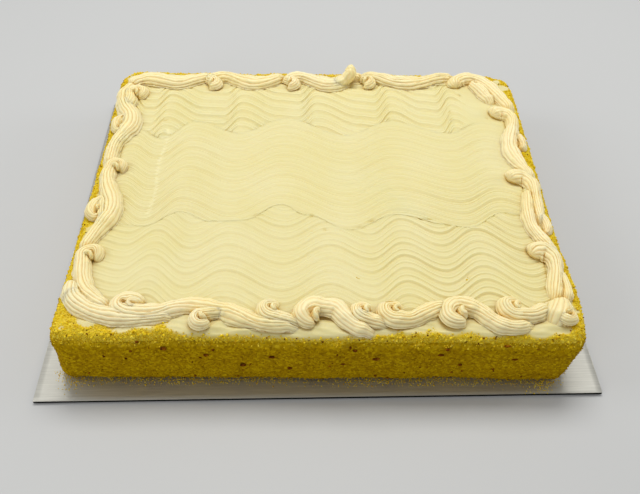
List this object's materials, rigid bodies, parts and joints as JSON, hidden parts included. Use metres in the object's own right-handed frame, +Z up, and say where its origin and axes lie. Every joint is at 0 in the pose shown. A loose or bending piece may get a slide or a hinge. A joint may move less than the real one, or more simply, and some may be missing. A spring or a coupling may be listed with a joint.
{
  "type": "lemon sheet cake on a board",
  "caption": "Rectangular lemon sheet cake with crumb coated sides, combed icing and a piped scroll border, standing on its card board.",
  "frame": {"origin": "middle of the underside of the board", "axes": "+X to the right along the board's long side, +Y to the back of the board, +Z up"},
  "size_m": [0.368, 0.31, 0.0694],
  "materials": {
    "card": "laminated silver card",
    "crumb": "dry yellow cake crumb",
    "icing": "soft pale lemon buttercream",
    "piping": "soft cream coloured buttercream"
  },
  "bodies": {
    "root": {"board": "card", "cake": "crumb", "icing": "icing", "border_front": "piping", "border_right": "piping", "border_back": "piping", "border_left": "piping"}
  },
  "joints": []
}
